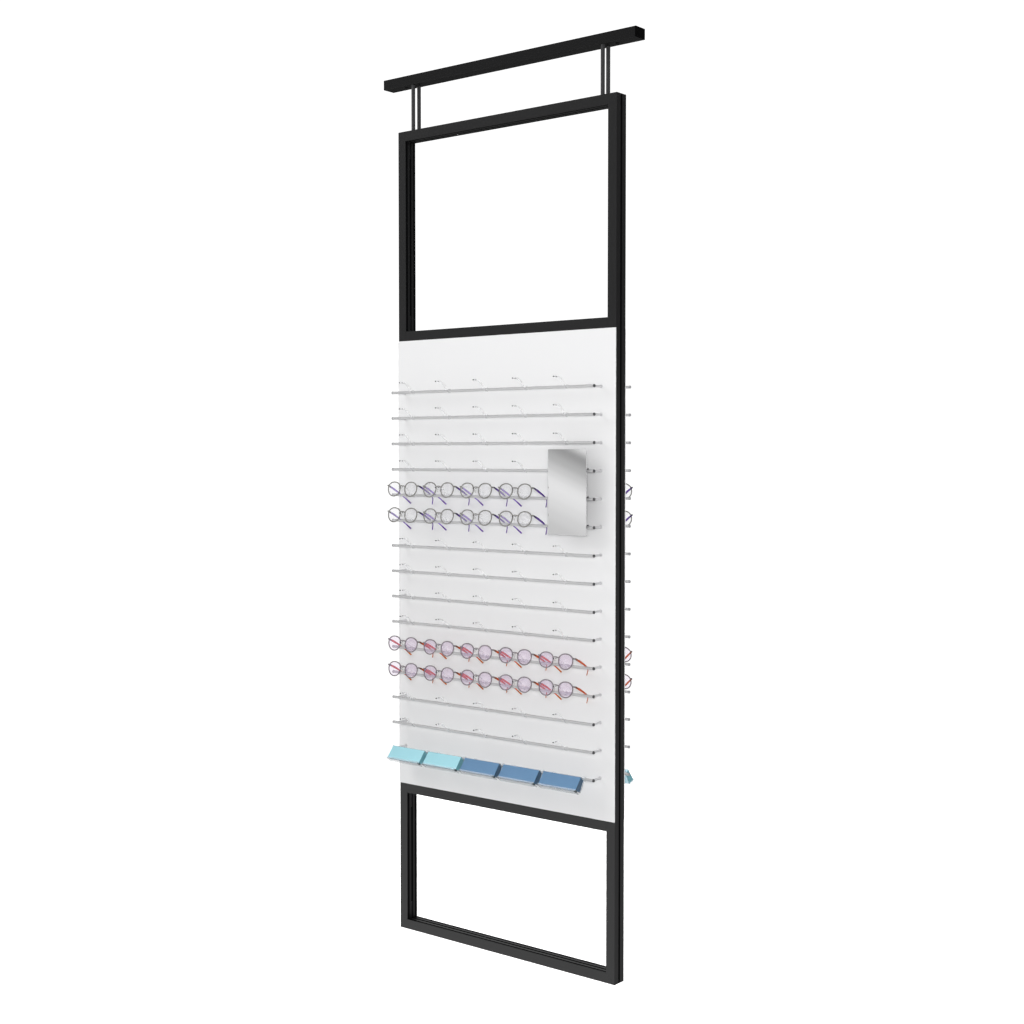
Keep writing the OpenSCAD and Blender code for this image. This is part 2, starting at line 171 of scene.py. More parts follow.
def lathe(profile, sides, matrix):
    """Turns (radius, height) points round Z, then places them."""
    turns = circle(sides)
    return skin([[matrix @ Vector((r * c, r * s, h)) for c, s in turns] for r, h in profile])


FACES_X = 0.9


def bevelled_prism(outline, x0, x1, width, segments=2, slot=0, end_slot=None):
    """An outline of (forward, up) points run along X from x0 to x1, with rounded edges."""
    bm = bmesh.new()
    base = bm.faces.new([bm.verts.new((x0, -f, v)) for f, v in outline])
    top = bmesh.ops.extrude_face_region(bm, geom=[base])
    moved = [g for g in top["geom"] if isinstance(g, bmesh.types.BMVert)]
    bmesh.ops.translate(bm, verts=moved, vec=(x1 - x0, 0, 0))
    bmesh.ops.recalc_face_normals(bm, faces=bm.faces)
    bmesh.ops.bevel(
        bm, geom=list(bm.edges), offset=width, segments=segments, profile=0.5,
        affect="EDGES", clamp_overlap=True,
    )
    bmesh.ops.recalc_face_normals(bm, faces=bm.faces)
    shape = Shape()
    shape.verts = [v.co.copy() for v in bm.verts]
    bm.verts.index_update()
    for f in bm.faces:
        shape.faces.append(tuple(v.index for v in f.verts))
        at_end = end_slot is not None and abs(f.normal.x) > FACES_X
        shape.slots.append(end_slot if at_end else slot)
    bm.free()
    return shape


def bezier(p0, p1, p2, p3, steps):
    """Points along a cubic curve from p0 to p3."""
    out = []
    for i in range(steps + 1):
        t = i / steps
        u = 1 - t
        out.append(p0 * u ** 3 + p1 * 3 * t * u ** 2 + p2 * 3 * t * t * u + p3 * t ** 3)
    return out


def piece(name, shape, placings, mats, body, replaced, smooth=40, clear=False):
    """One object with a shape at every placing, riding on a body. Clear ones cast no shadow."""
    whole = Shape()
    for m in placings:
        whole.include(shape, m)
    mesh = bpy.data.meshes.new(name)
    mesh.from_pydata([v * MM for v in whole.verts], [], whole.faces)
    for m in mats:
        mesh.materials.append(m)
    mesh.polygons.foreach_set("material_index", whole.slots)
    mesh.polygons.foreach_set("use_smooth", [True] * len(whole.faces))
    mesh.update()
    mesh.set_sharp_from_angle(angle=math.radians(smooth))
    obj = bpy.data.objects.new(name, mesh)
    bpy.context.scene.collection.objects.link(obj)
    obj.visible_shadow = not clear
    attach(obj, body)
    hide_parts(*replaced)


# ---- materials ----
NOISE_LOW, NOISE_HIGH = 0.3, 0.7
GRAIN_DETAIL, GRAIN_ROUGHNESS, BROAD_DETAIL = 6.0, 0.6, 3.0
COAT_ROUGHNESS = 0.08


def grain_material(
    name, colour, rough, metallic=0.0, vary=0.08, rough_vary=0.05, scale=(400, 400, 400),
    bump=0.02, blotch=6.0, coat=0.0, alpha=1.0, ior=1.5, spec=0.5,
):
    """A finish with large soft variation in colour, fine grain in roughness and a shallow bump."""
    mat = bpy.data.materials.new(name)
    mat.use_nodes = True
    tree = mat.node_tree
    make, link = tree.nodes.new, tree.links.new
    shader = tree.nodes["Principled BSDF"]
    shader.inputs["Metallic"].default_value = metallic
    shader.inputs["IOR"].default_value = ior
    shader.inputs["Specular IOR Level"].default_value = spec
    shader.inputs["Coat Weight"].default_value = coat
    shader.inputs["Coat Roughness"].default_value = COAT_ROUGHNESS
    shader.inputs["Alpha"].default_value = alpha
    place = make("ShaderNodeTexCoord")
    stretch = make("ShaderNodeMapping")
    stretch.inputs["Scale"].default_value = scale
    link(place.outputs["Object"], stretch.inputs["Vector"])
    grain = make("ShaderNodeTexNoise")
    grain.inputs["Scale"].default_value = 1.0
    grain.inputs["Detail"].default_value = GRAIN_DETAIL
    grain.inputs["Roughness"].default_value = GRAIN_ROUGHNESS
    link(stretch.outputs["Vector"], grain.inputs["Vector"])
    broad = make("ShaderNodeTexNoise")
    broad.inputs["Scale"].default_value = blotch
    broad.inputs["Detail"].default_value = BROAD_DETAIL
    link(place.outputs["Object"], broad.inputs["Vector"])
    ramp = make("ShaderNodeValToRGB")
    low = [max(0.0, c * (1 - vary)) for c in colour]
    high = [min(1.0, c * (1 + vary)) for c in colour]
    for stop, position, tone in zip(ramp.color_ramp.elements, (NOISE_LOW, NOISE_HIGH), (low, high)):
        stop.position = position
        stop.color = (*tone, 1)
    blend = make("ShaderNodeMath")
    blend.operation = "MULTIPLY_ADD"
    blend.inputs[1].default_value = 0.5
    link(broad.outputs["Fac"], blend.inputs[0])
    half = make("ShaderNodeMath")
    half.operation = "MULTIPLY"
    half.inputs[1].default_value = 0.5
    link(grain.outputs["Fac"], half.inputs[0])
    link(half.outputs[0], blend.inputs[2])
    link(blend.outputs[0], ramp.inputs["Fac"])
    link(ramp.outputs["Color"], shader.inputs["Base Color"])
    spread = make("ShaderNodeMapRange")
    spread.inputs["From Min"].default_value = NOISE_LOW
    spread.inputs["From Max"].default_value = NOISE_HIGH
    spread.inputs["To Min"].default_value = max(0.0, rough - rough_vary)
    spread.inputs["To Max"].default_value = min(1.0, rough + rough_vary)
    link(grain.outputs["Fac"], spread.inputs["Value"])
    link(spread.outputs["Result"], shader.inputs["Roughness"])
    relief = make("ShaderNodeBump")
    relief.inputs["Strength"].default_value = 1.0
    relief.inputs["Distance"].default_value = bump * MM
    link(grain.outputs["Fac"], relief.inputs["Height"])
    link(relief.outputs["Normal"], shader.inputs["Normal"])
    return mat


FINE = (900, 900, 900)
ALONG_X, ALONG_Z = (9, 900, 900), (900, 900, 9)
profile_up = grain_material(
    "black_anodised_upright", (0.005, 0.005, 0.0055), 0.42, scale=ALONG_Z, vary=0.2,
    rough_vary=0.05, bump=0.004,
)
profile_across = grain_material(
    "black_anodised_across", (0.005, 0.005, 0.0055), 0.42, scale=ALONG_X, vary=0.2,
    rough_vary=0.05, bump=0.004,
)
# A darker copy of the black anodised finish, with weaker specular: painted shade for the beam's dim
# front and ends.
profile_beam_painted_shade = grain_material(
    "black_anodised_beam_painted_shade", (0.0025, 0.0025, 0.0028), 0.45, scale=ALONG_X, vary=0.2,
    rough_vary=0.05, bump=0.004, spec=0.28,
)
black_plastic = grain_material(
    "black_moulded", (0.001, 0.001, 0.0011), 0.55, scale=FINE, bump=0.01, vary=0.2, spec=0.06,
)
rod_steel = grain_material(
    "rod_coat", (0.04, 0.04, 0.042), 0.4, scale=(60, 60, 8), bump=0.0, vary=0.1, rough_vary=0.03,
)
zinc = grain_material(
    "zinc_plate", (0.42, 0.43, 0.45), 0.38, metallic=1.0, scale=FINE, vary=0.12, bump=0.02,
)
white_panel = grain_material(
    "white_laminate", (0.80, 0.80, 0.805), 0.55, scale=(1400, 1400, 1400), vary=0.012,
    rough_vary=0.08, bump=0.02, blotch=2.0, spec=0.35,
)
grey_plastic = grain_material("grey_moulded", (0.30, 0.30, 0.31), 0.5, scale=FINE, bump=0.03)
bar_steel = grain_material(
    "drawn_steel", (0.51, 0.51, 0.515), 0.42, metallic=0.2, scale=(10, 1600, 1600), vary=0.05,
    rough_vary=0.06, bump=0.002,
)
standoff_steel = grain_material(
    "turned_steel", (0.62, 0.62, 0.63), 0.4, metallic=0.2, scale=(1200, 200, 1200), vary=0.05,
    bump=0.002,
)
# Two copies of one plug rubber: a near-black one on the bars' right ends, painted shade on their
# end faces, and a grey one on the left ends, painted light.
dark_rubber = grain_material(
    "dark_rubber", (0.07, 0.07, 0.074), 0.6, scale=FINE, bump=0.05, vary=0.25,
)
plug_rubber_painted_light = grain_material(
    "plug_rubber_painted_light", (0.33, 0.33, 0.34), 0.6, scale=FINE, bump=0.03, vary=0.1,
)
pin_rubber = grain_material("pin_rubber", (0.05, 0.05, 0.053), 0.5, scale=FINE, bump=0.03, vary=0.2)
clear_acrylic = grain_material(
    "clear_acrylic", (0.9, 0.91, 0.92), 0.2, scale=(250, 250, 250), vary=0.02, rough_vary=0.04,
    bump=0.002, alpha=0.16, ior=1.49, spec=0.2,
)
holder_acrylic = grain_material(
    "holder_acrylic", (0.8, 0.88, 0.94), 0.07, scale=(250, 250, 250), vary=0.02, rough_vary=0.03,
    bump=0.004, alpha=0.26, ior=1.49,
)
holder_edge = grain_material(
    "holder_saw_edge", (0.05, 0.075, 0.085), 0.35, scale=(200, 1400, 1400), vary=0.2, bump=0.01,
    alpha=0.9,
)
mirror_silver = grain_material(
    "mirror_silver", (0.86, 0.86, 0.865), 0.03, metallic=1.0, scale=FINE, vary=0.012,
    rough_vary=0.015, bump=0.0, blotch=3.0,
)
dark_metal = grain_material(
    "dark_coat", (0.035, 0.035, 0.04), 0.4, scale=FINE, bump=0.03, vary=0.15,
)
pale_blue = grain_material(
    "pale_blue_face", (0.40, 0.76, 0.85), 0.45, scale=FINE, vary=0.03, bump=0.015,
)
# The blocks' end faces get a darker copy of the pale blue: painted shade for the sides in shadow.
pale_blue_painted_shade_end = grain_material(
    "pale_blue_painted_shade_end", (0.15, 0.38, 0.44), 0.5, scale=FINE, vary=0.1, bump=0.03,
)
mid_blue = grain_material(
    "blue_face", (0.13, 0.27, 0.46), 0.45, scale=FINE, vary=0.05, bump=0.015,
)
# The same darker copy of the mid blue, painted shade on the end faces.
mid_blue_painted_shade_end = grain_material(
    "blue_face_painted_shade_end", (0.055, 0.115, 0.19), 0.5, scale=FINE, vary=0.1, bump=0.03,
)
rim_grey = grain_material(
    "gunmetal_rim", (0.22, 0.215, 0.2), 0.4, scale=FINE, metallic=0.2, vary=0.12, bump=0.005,
)
rim_mauve = grain_material(
    "mauve_rim", (0.22, 0.195, 0.21), 0.4, scale=FINE, metallic=0.2, vary=0.12, bump=0.005,
)
grey_lens = grain_material(
    "grey_lens", (0.7, 0.7, 0.72), 0.04, scale=(60, 60, 60), vary=0.02, rough_vary=0.02, bump=0.001,
    alpha=0.17, ior=1.5, spec=0.25,
)
pink_lens = grain_material(
    "lilac_lens", (0.66, 0.42, 0.74), 0.04, scale=(60, 60, 60), vary=0.03, rough_vary=0.02,
    bump=0.001, alpha=0.15, ior=1.5, spec=0.25,
)


def acetate(name, colour):
    """The glossy, slightly cloudy plastic of the temples."""
    return grain_material(
        name, colour, 0.36, scale=(160, 160, 160), vary=0.25, coat=0.1, spec=0.3, bump=0.002,
        blotch=90,
    )


purple_inner = acetate("purple_acetate_inner", (0.22, 0.12, 0.50))
purple_outer = acetate("purple_acetate_outer", (0.11, 0.045, 0.29))
purple_hinge = acetate("purple_acetate_hinge", (0.04, 0.02, 0.09))
purple_tip = acetate("purple_acetate_tip", (0.13, 0.05, 0.32))
red_inner = acetate("red_acetate_inner", (0.62, 0.09, 0.02))
red_outer = acetate("red_acetate_outer", (0.54, 0.085, 0.02))
red_hinge = acetate("red_acetate_hinge", (0.20, 0.06, 0.03))
red_tip = acetate("orange_acetate_tip", (0.52, 0.13, 0.02))
pad_silicone = grain_material("nose_pad", (0.8, 0.8, 0.78), 0.25, scale=FINE, alpha=0.5, vary=0.05)


WELD_DISTANCE = 0.00001
BEVEL_SEGMENTS, BEVEL_ANGLE = 2, 35


def keep(names, mat, bevel=0.0):
    """CAD nodes stay as they are, with a finish and softened edges."""
    for name in names:
        obj = nodes[name]
        obj.data.materials.clear()
        obj.data.materials.append(mat)
        if bevel:
            weld = obj.modifiers.new("weld", "WELD")
            weld.merge_threshold = WELD_DISTANCE
            edge = obj.modifiers.new("edge", "BEVEL")
            edge.width = bevel * MM
            edge.segments = BEVEL_SEGMENTS
            edge.limit_method = "ANGLE"
            edge.angle_limit = math.radians(BEVEL_ANGLE)
            edge.use_clamp_overlap = True
            edge.harden_normals = True


# The beam takes the darker copy of the anodised finish, painted shade.
keep(["ceiling_beam"], profile_beam_painted_shade, 0.8)
keep(["beam_end_caps"], black_plastic, 0.6)
keep(["hanger_rods"], rod_steel)
keep(["hanger_nuts", "corner_brackets", "bracket_screws"], zinc, 0.3)
keep(["left_stile", "right_stile"], profile_up, 0.35)
keep(["top_rail", "upper_mid_rail", "lower_mid_rail", "bottom_rail"], profile_across, 0.35)
keep(["front_panel", "back_panel"], white_panel, 0.3)
keep(["panel_clips"], grey_plastic, 0.4)
keep(["front_standoffs", "back_standoffs"], standoff_steel)
keep(["front_bars", "back_bars"], bar_steel)
keep(["front_mirror_glass", "back_mirror_glass"], mirror_silver, 0.25)
keep(["front_mirror_backplate", "back_mirror_backplate"], dark_metal, 0.3)


# ---- nose rests and their pins ----
WRAP_ANGLES = range(35, 311, 11)
WRAP_OUT = 1.05
ARM_STEPS = 14
ARM_HALF_T, ARM_GAINS_T, ARM_GAINS_BY = 0.95, 0.85, 1.6
ARM_HALF_W, ARM_LOSES_W = 3.0, 0.4
ARM_EDGE = 0.35
PIN_SIDES = 12
PIN_SHAFT = ((0.6, -0.4), (1.7, -0.3), (1.75, 0.6), (1.45, 1.6), (1.4, TIP_L - 3))
PIN_RING = ((1.3, 6.6), (1.65, 6.8), (1.75, 7.4), (1.65, 8.0), (1.3, 8.2))
PIN_CAP = ((1.3, TIP_L - 3.6), (1.7, TIP_L - 3.5), (TIP_R, TIP_L - 3.1))
PIN_DOME_ANGLES = (0.0, 0.4, 0.8, 1.15, 1.45)


def nose_rest():
    """A hook that wraps the bar and rises into an arm, with the X axis across it."""
    ring_r = BAR_R + WRAP_OUT
    wrap = [math.radians(a) for a in WRAP_ANGLES]
    path = [Vector((0, -ring_r * math.cos(a), ring_r * math.sin(a))) for a in wrap]
    start = path[-1]
    end = Vector((0, -REST_REACH, REST_RISE))
    leaving, arriving = Vector((0, -13, 11)), Vector((0, 13, -0.5))
    path += bezier(start, start + leaving, end + arriving, end, ARM_STEPS)[1:]
    wraps = len(wrap) / len(path)

    def section(t):
        on_arm = max(0.0, (t - wraps) / (1 - wraps))
        half_t = ARM_HALF_T + ARM_GAINS_T * min(1.0, on_arm * ARM_GAINS_BY)
        half_w = ARM_HALF_W - ARM_LOSES_W * on_arm
        return chamfered(half_w, half_t, ARM_EDGE)

    verts, faces = sweep(path, section, Vector((1, 0, 0)))
    return Shape().add(verts, faces)


def rest_pin():
    """A clear pin with a rubber ring part way along it and a domed rubber end."""
    dome = [
        (TIP_R * math.cos(a), TIP_L - TIP_R + TIP_R * math.sin(a)) for a in PIN_DOME_ANGLES
    ]
    forward = (
        Matrix.Translation((0, -REST_REACH, REST_RISE))
        @ Matrix.Rotation(math.radians(90), 4, "X")
    )
    shape = Shape().add(*lathe(PIN_SHAFT, PIN_SIDES, forward))
    shape.add(*lathe(PIN_RING, PIN_SIDES, forward), slot=1)
    return shape.add(*lathe((*PIN_CAP, *dome), PIN_SIDES, forward), slot=1)


def hidden_by_mirror(row, place):
    return place == PLACES and row in MIRROR_ROWS


REST_PLACES = [
    (row, place) for row in range(1, CARD_ROW) for place in range(1, PLACES + 1)
    if not hidden_by_mirror(row, place)
]
rest_shape, pin_shape = nose_rest(), rest_pin()
for side in SIDES:
    placings = [at_place(side, *p) for p in REST_PLACES]
    piece(
        f"{side}_nose_rest_hooks", rest_shape, placings, [clear_acrylic], "hanging_frame",
        [f"{side}_nose_rests"], clear=True,
    )
piece(
    "nose_rest_pins", pin_shape, [at_place(side, *p) for side in SIDES for p in REST_PLACES],
    [clear_acrylic, pin_rubber], "hanging_frame", ["rest_tips"],
)


# ---- bar end plugs ----
PLUG_SIDES, PLUG_T = 20, 4.0
PLUG = (
    (4.05, 0), (4.4, 0.15), (4.4, 2.6), (4.2, 3.3), (3.7, 3.75), (2.4, 3.95), (0.5, PLUG_T),
)


def end_plugs():
    """Caps over a bar's two ends: a rim, a rounded shoulder and a shallow dome."""
    shape = Shape()
    # Slot 0, the right end, takes the painted-shade copy of the rubber; slot 1, the left end, takes
    # the painted-light copy.
    for slot, x, degrees in ((0, BAR_RIGHT - PLUG_T, 90), (1, BAR_LEFT + PLUG_T, -90)):
        turn = Matrix.Rotation(math.radians(degrees), 4, "Y")
        shape.add(*lathe(PLUG, PLUG_SIDES, Matrix.Translation((x, 0, 0)) @ turn), slot=slot)
    return shape


piece(
    "bar_end_caps", end_plugs(),
    [at_bar(side, row, 0) for side in SIDES for row in range(1, BAR_ROWS + 1)],
    [dark_rubber, plug_rubber_painted_light], "hanging_frame", ["bar_end_plugs"],
)


# ---- glasses ----
LENS_CURVE, LENS_AHEAD = 120.0, 1.6
LENS_T, LENS_EDGE = 1.8, 0.3
LENS_POINTS = 44
OUTLINE_POWER, OUTLINE_WIDER_ABOVE = 0.95, 0.1
RIM_INSET, LENS_INSET = 2.7, 4.2
RIM_WIRE, BRIDGE_WIRE, WIRE_SIDES = (1.6, 1.75), (1.5, 1.6), 10
ENDPIECE_T, ENDPIECE_H, ENDPIECE_THINS, ENDPIECE_EDGE = 1.4, 2.3, 0.3, 0.5
ENDPIECE = (
    (57.2, 1.0, 9.2), (59.6, 1.1, 10.3), (62.2, 1.4, 10.9), (63.8, 2.4, 11.0),
    (64.2, 3.6, 10.9), (64.2, 4.6, 10.8),
)
ENDPIECE_AXIS = Vector((0.5, 1, 0)).normalized()
BARREL_AT, SMALL_SIDES = (63.3, 5.0, 8.9), 12
BARREL = ((0.6, 0), (1.15, 0.2), (1.15, 1.9), (1.0, 2.0), (1.15, 2.1), (1.15, 3.8), (0.6, 4.0))
PAD_WIRE = ((9.2, 1.2, 4), (8.2, 4.5, 5), (6.2, 6.5, 3), (6.9, 5.6, -1))
PAD_WIRE_R, PAD_WIRE_SIDES, PAD_WIRE_STEPS = 0.45, 6, 8
PAD_WIRE_AXIS = Vector((1, 0, 0.2)).normalized()
PAD = ((0.3, -4.6), (1.5, -4.2), (2.4, -2.8), (2.75, 0), (2.3, 2.9), (1.4, 4.2), (0.3, 4.6))
PAD_AT, PAD_TURN, PAD_FLAT = (6.6, 5.4, -1.5), 14, (0.42, 0.9, 1, 1)
BRIDGE_X = (-10.4, -9, -7.5, -5.5, -3, 0, 3, 5.5, 7.5, 9, 10.4)
BRIDGE_ARCH, BRIDGE_Y, BRIDGE_AHEAD, BRIDGE_Z, BRIDGE_RISE = 7.2, 0.6, 1.2, 8.6, 2.2
LENS_RINGS = (
    (0.02, 0), (0.35, 0), (0.65, 0), (0.88, 0), (1.0, LENS_EDGE), (1.0, LENS_T - LENS_EDGE),
    (0.88, LENS_T), (0.65, LENS_T), (0.35, LENS_T), (0.02, LENS_T),
)
lens_plane = (
    Matrix.Translation((0, LENS_Y, LENS_Z))
    @ Matrix.Rotation(math.radians(-LENS_LEAN), 4, "X")
)


def lens_outline(w, h):
    """A round lens, a little squared and wider above its middle."""
    out = []
    for i in range(LENS_POINTS):
        angle = 2 * math.pi * i / LENS_POINTS
        c, s = math.cos(angle), math.sin(angle)
        x = w / 2 * math.copysign(abs(c) ** OUTLINE_POWER, c) * (1 + OUTLINE_WIDER_ABOVE * s)
        out.append((x, h / 2 * math.copysign(abs(s) ** OUTLINE_POWER, s)))
    return out


def bulge(x, z):
    """How far behind the lens plane a point of the curved face lies."""
    return (x * x + z * z) / (2 * LENS_CURVE) - LENS_AHEAD


def rims():
    """Both rims, the bridge, the end pieces, the hinges and the nose pads on their wires."""

    def endpiece(t):
        return chamfered(ENDPIECE_T, ENDPIECE_H - ENDPIECE_THINS * t, ENDPIECE_EDGE)

    one = Shape()
    edge = lens_outline(RIM_W - RIM_INSET, RIM_H - RIM_INSET)
    loop = [Vector((LENS_X + x, bulge(x, z), z)) for x, z in edge]
    behind = Vector((0, 1, 0))
    one.add(*sweep(loop, lambda t: oval(*RIM_WIRE, WIRE_SIDES), behind, closed=True))
    one.add(*sweep([Vector(p) for p in ENDPIECE], endpiece, ENDPIECE_AXIS))
    one.add(*lathe(BARREL, SMALL_SIDES, Matrix.Translation(BARREL_AT)))
    wire = bezier(*(Vector(p) for p in PAD_WIRE), PAD_WIRE_STEPS)
    one.add(*sweep(wire, lambda t: oval(PAD_WIRE_R, PAD_WIRE_R, PAD_WIRE_SIDES), PAD_WIRE_AXIS))
    whole = both(one)
    arch = []
    for x in BRIDGE_X:
        rise = math.cos(x / BRIDGE_ARCH)
        arch.append(Vector((x, BRIDGE_Y - BRIDGE_AHEAD * rise, BRIDGE_Z + BRIDGE_RISE * rise)))
    whole.add(*sweep(arch, lambda t: oval(*BRIDGE_WIRE, WIRE_SIDES), behind))
    tilt = Matrix.Translation(PAD_AT) @ Matrix.Rotation(math.radians(PAD_TURN), 4, "Y")
    pad = Shape().add(*lathe(PAD, SMALL_SIDES, tilt @ Matrix.Diagonal(PAD_FLAT)), slot=1)
    whole.include(both(pad))
    return Shape().include(whole, lens_plane)


def lenses():
    """Two curved demo lenses, set in the rims."""
    rings = []
    for share, depth in LENS_RINGS:
        ring = []
        for x, z in lens_outline(RIM_W - LENS_INSET, RIM_H - LENS_INSET):
            x, z = x * share, z * share
            ring.append(Vector((LENS_X + x, bulge(x, z) + depth - LENS_T / 2, z)))
        rings.append(ring)
    return Shape().include(both(Shape().add(*skin(rings))), lens_plane)


# Heights and thicknesses of a temple, by the share of its length behind the hinge
TEMPLE_H = (
    (0.0, 4.2), (0.06, 5.6), (0.25, 6.8), (0.42, 6.0), (0.6, 4.0), (0.74, 3.4),
    (0.86, 4.8), (0.97, 5.4), (1.0, 4.0),
)
TEMPLE_T = ((0.0, 2.4), (0.3, 2.4), (0.6, 2.0), (0.8, 2.3), (1.0, 2.6))
CAD_HALF_H = 2.3
TEMPLE_SIDES = 12
STRAIGHT_STEPS = (0, 0.03, 0.07, 0.12, 0.18, 0.25, 0.33, 0.41, 0.49, 0.57, 0.65, 0.72, 0.79)
TURN_LEAVES, TURN_AIMS, TURN_ENDS, TURN_STEPS = 0.93, 0.15, 0.4, 8
TIP_STEPS = (0.52, 0.64, 0.76, 0.86, 0.94, 0.985, 1.0)
STRAIGHT_UNTIL, HINGE_UNTIL, TIP_FROM = 0.75, 0.09, 0.8
HINGE_PLATE = ((63.3, -46.6, 30.4), (63.0, -44.5, 29.4), (62.2, -39.5, 26.9))
PLATE_AXIS = Vector((1, 0.15, 0)).normalized()
PLATE_T, PLATE_H, PLATE_THINS, PLATE_EDGE = 0.45, 1.1, 0.3, 0.2
INSIDE, OUTSIDE, HINGE_END, TIP_END, PLATE = range(5)


def between(table, t):
    """A smooth value read from (t, value) pairs."""
    for (t0, v0), (t1, v1) in zip(table, table[1:]):
        if t <= t1:
            k = (t - t0) / (t1 - t0)
            return v0 + (v1 - v0) * k * k * (3 - 2 * k)
    return table[-1][1]


def temples():
    """Arms from the hinge over the bar, straight below, curving down to a flat tip."""

    def plate(t):
        return chamfered(PLATE_T, PLATE_H - PLATE_THINS * t, PLATE_EDGE)

    straight, tip = BEND - HINGE, TEMPLE_END - BEND
    path = [HINGE + straight * k for k in STRAIGHT_STEPS]
    path += bezier(
        path[-1], HINGE + straight * TURN_LEAVES, BEND + tip * TURN_AIMS, BEND + tip * TURN_ENDS,
        TURN_STEPS,
    )[1:]
    path += [BEND + tip * k for k in TIP_STEPS]
    lengths = [0.0]
    for a, b in zip(path, path[1:]):
        lengths.append(lengths[-1] + (b - a).length)
    share = [s / lengths[-1] for s in lengths]
    outer = Vector((1, 0, 0))
    rings = []
    for i, p in enumerate(path):
        along = (path[min(i + 1, len(path) - 1)] - path[max(i - 1, 0)]).normalized()
        up = outer.cross(along).normalized()
        across = along.cross(up).normalized()
        h, t = between(TEMPLE_H, share[i]), between(TEMPLE_T, share[i])
        middle = p - up * (CAD_HALF_H - h / 2) * (1 if share[i] < STRAIGHT_UNTIL else 0)
        ring = oval(t / 2, h / 2, TEMPLE_SIDES)
        rings.append([middle + across * u + up * v for u, v in ring])
    one = Shape().add(*skin(rings))
    for i in range(len(one.faces) - 2):
        s = share[i // TEMPLE_SIDES]
        outside = math.cos(2 * math.pi * (i % TEMPLE_SIDES + 0.5) / TEMPLE_SIDES) > 0
        if s < HINGE_UNTIL:
            one.slots[i] = HINGE_END
        elif s > TIP_FROM:
            one.slots[i] = TIP_END
        else:
            one.slots[i] = OUTSIDE if outside else INSIDE
    one.slots[-2], one.slots[-1] = HINGE_END, TIP_END
    one.add(*sweep([Vector(p) for p in HINGE_PLATE], plate, PLATE_AXIS), slot=PLATE)
    return both(one)


rim_shape, lens_shape, temple_shape = rims(), lenses(), temples()
GLASSES = {
    "purple": (
        PURPLE, rim_grey, grey_lens, "grey_lens",
        [purple_inner, purple_outer, purple_hinge, purple_tip, rim_grey],
    ),
    "red": (
        RED, rim_mauve, pink_lens, "pink_lens",
        [red_inner, red_outer, red_hinge, red_tip, rim_mauve],
    ),
}
for side in SIDES:
    for colour, (spots, rim_mat, lens_mat, lens_slot, temple_mats) in GLASSES.items():
        rows, places = spots
        placings = [at_place(side, row, place) for row in rows for place in places]
        body, stem = f"{side}_{colour}_glasses", f"{side}_{colour}"
        piece(
            f"{stem}_rims", rim_shape, placings, [rim_mat, pad_silicone], body,
            [f"{stem}_frames"],
        )
        piece(
            f"{stem}_demo_lenses", lens_shape, placings, [lens_mat], body,
            [f"{stem}_lenses"], smooth=70, clear=True,
        )
        piece(
            f"{stem}_arms", temple_shape, placings, temple_mats, body,
            [f"{stem}_temples"], smooth=60,
        )


# ---- card blocks and their clear holders ----
# The block's outline as (forward, up) points round the bar: top, back, foot and front
BLOCK = [(19, 9), (6.5, -3.5), (23, -33), (45, -24)]
BLOCKS, PALE_BLOCKS = 5, 2
BLOCK_SIDE, BLOCK_EDGE, BLOCK_SEGMENTS = 1, 0.9, 3
BLOCK_GAP, SHEET_T, LIP_H, FLANGE_L = 0.15, 1.6, 3, 21
TOP_BEVEL, FOOT_BEVEL, SHEET_EDGE = 2.6, 4.2, 0.25
FLANGE_WAY, FLANGE_UP = Vector((-6, -5)).normalized(), Vector((-5, 6)).normalized()
KNUCKLE_W, KNUCKLE_R, KNUCKLE_SIDES = 10, 6.4, 24
FIRST_KNUCKLE = 20
KNUCKLE = (
    (4.25, 0.0), (6.1, 0.0), (KNUCKLE_R, 0.35), (KNUCKLE_R, KNUCKLE_W - 0.35), (6.1, KNUCKLE_W),
    (4.25, KNUCKLE_W), (4.06, KNUCKLE_W - 0.3), (4.06, 0.3),
)
CLIP_FROM, CLIP_TO, CLIP_OVER, CLIP_W = 0.8, 10.0, 1.0, 6.0
CLIP_OUT, CLIP_EDGE = 0.5, 0.3


def outward(a, b):
    """The outward normal of an outline's side from a to b."""
    u = (b - a).normalized()
    return Vector((u.y, -u.x))


def grown(points, d):
    """An outline moved outward by d on every side."""
    pts = [Vector(p) for p in points]
    out = []
    for i, p in enumerate(pts):
        before, after = outward(pts[i - 1], p), outward(p, pts[(i + 1) % len(pts)])
        out.append(p + d * (before + after) / (1 + before.dot(after)))
    return out


